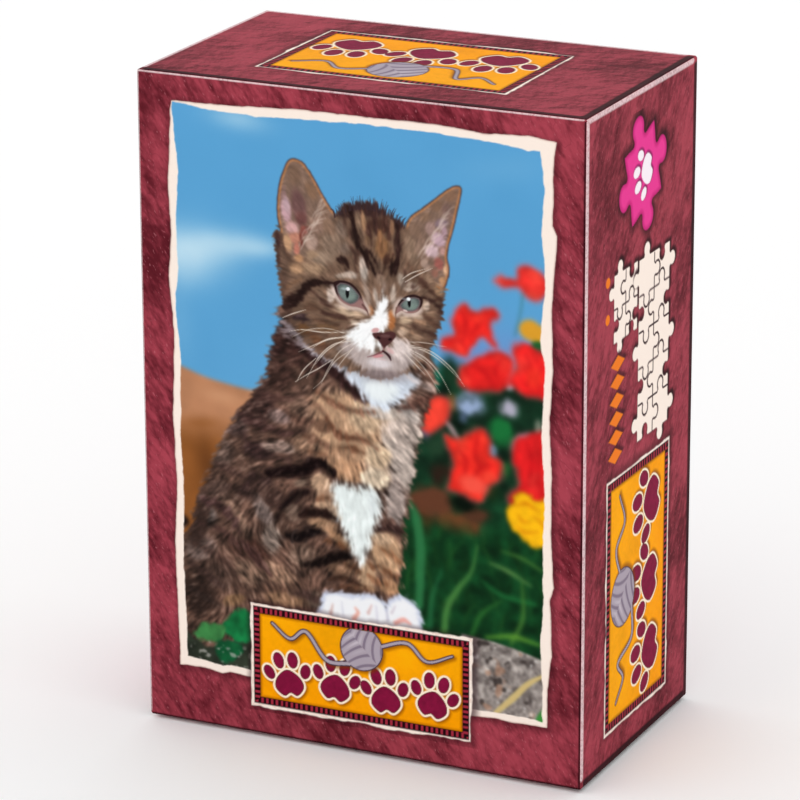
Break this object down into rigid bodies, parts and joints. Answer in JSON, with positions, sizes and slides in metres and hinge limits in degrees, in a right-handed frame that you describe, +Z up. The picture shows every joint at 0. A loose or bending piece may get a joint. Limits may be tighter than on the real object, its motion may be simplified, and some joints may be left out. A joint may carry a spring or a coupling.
{
  "type": "boxed jigsaw puzzle",
  "caption": "Small upright two-piece cardboard box with a lift-off picture lid over a tray, holding a sealed clear bag of interlocking jigsaw pieces.",
  "frame": {"origin": "middle of the short end that the box stands on", "axes": "+Z up along the box's long side, -Y out of the picture panel, which is the way the lid comes off, +X to the right seen from the front"},
  "size_m": [0.067, 0.039, 0.095],
  "materials": {
    "greyboard": "matt uncoated recycled board",
    "printed_paper": "printed art paper with a thin gloss varnish",
    "tray_paper": "printed art paper with a thin gloss varnish",
    "bag_film": "clear heat-sealed film",
    "jigsaw_board": "die-cut board with a glossy printed picture side"
  },
  "bodies": {
    "base": {"base_board": "greyboard", "base_wrap": "tray_paper"},
    "lid": {"lid_board": "greyboard", "lid_wrap": "printed_paper"},
    "bag": {"piece_bag": "bag_film", "piece_r1_c1": "jigsaw_board", "piece_r1_c2": "jigsaw_board", "piece_r1_c3": "jigsaw_board", "piece_r1_c4": "jigsaw_board", "piece_r1_c5": "jigsaw_board", "piece_r1_c6": "jigsaw_board", "piece_r2_c1": "jigsaw_board", "piece_r2_c2": "jigsaw_board", "piece_r2_c3": "jigsaw_board", "piece_r2_c4": "jigsaw_board", "piece_r2_c5": "jigsaw_board", "piece_r2_c6": "jigsaw_board", "piece_r3_c1": "jigsaw_board", "piece_r3_c2": "jigsaw_board", "piece_r3_c3": "jigsaw_board", "piece_r3_c4": "jigsaw_board", "piece_r3_c5": "jigsaw_board", "piece_r3_c6": "jigsaw_board", "piece_r4_c1": "jigsaw_board", "piece_r4_c2": "jigsaw_board", "piece_r4_c3": "jigsaw_board", "piece_r4_c4": "jigsaw_board", "piece_r4_c5": "jigsaw_board", "piece_r4_c6": "jigsaw_board", "piece_r5_c1": "jigsaw_board", "piece_r5_c2": "jigsaw_board", "piece_r5_c3": "jigsaw_board", "piece_r5_c4": "jigsaw_board", "piece_r5_c5": "jigsaw_board", "piece_r5_c6": "jigsaw_board", "piece_r6_c1": "jigsaw_board", "piece_r6_c2": "jigsaw_board", "piece_r6_c3": "jigsaw_board", "piece_r6_c4": "jigsaw_board", "piece_r6_c5": "jigsaw_board", "piece_r6_c6": "jigsaw_board", "piece_r7_c1": "jigsaw_board", "piece_r7_c2": "jigsaw_board", "piece_r7_c3": "jigsaw_board", "piece_r7_c4": "jigsaw_board", "piece_r7_c5": "jigsaw_board", "piece_r7_c6": "jigsaw_board", "piece_r8_c1": "jigsaw_board", "piece_r8_c2": "jigsaw_board", "piece_r8_c3": "jigsaw_board", "piece_r8_c4": "jigsaw_board", "piece_r8_c5": "jigsaw_board", "piece_r8_c6": "jigsaw_board", "piece_r9_c1": "jigsaw_board", "piece_r9_c2": "jigsaw_board", "piece_r9_c3": "jigsaw_board", "piece_r9_c4": "jigsaw_board", "piece_r9_c5": "jigsaw_board", "piece_r9_c6": "jigsaw_board"}
  },
  "joints": [
    {"name": "lid_lift", "type": "slide", "parent": "base", "child": "lid", "axis": [0, -1, 0], "range_m": [0, 0.08]},
    {"name": "bag_lift", "type": "slide", "parent": "base", "child": "bag", "axis": [0, -1, 0], "range_m": [0, 0.038]}
  ],
  "couplings": [
    {"joint": "bag_lift", "follows": "lid_lift", "ratio": 0.475}
  ]
}
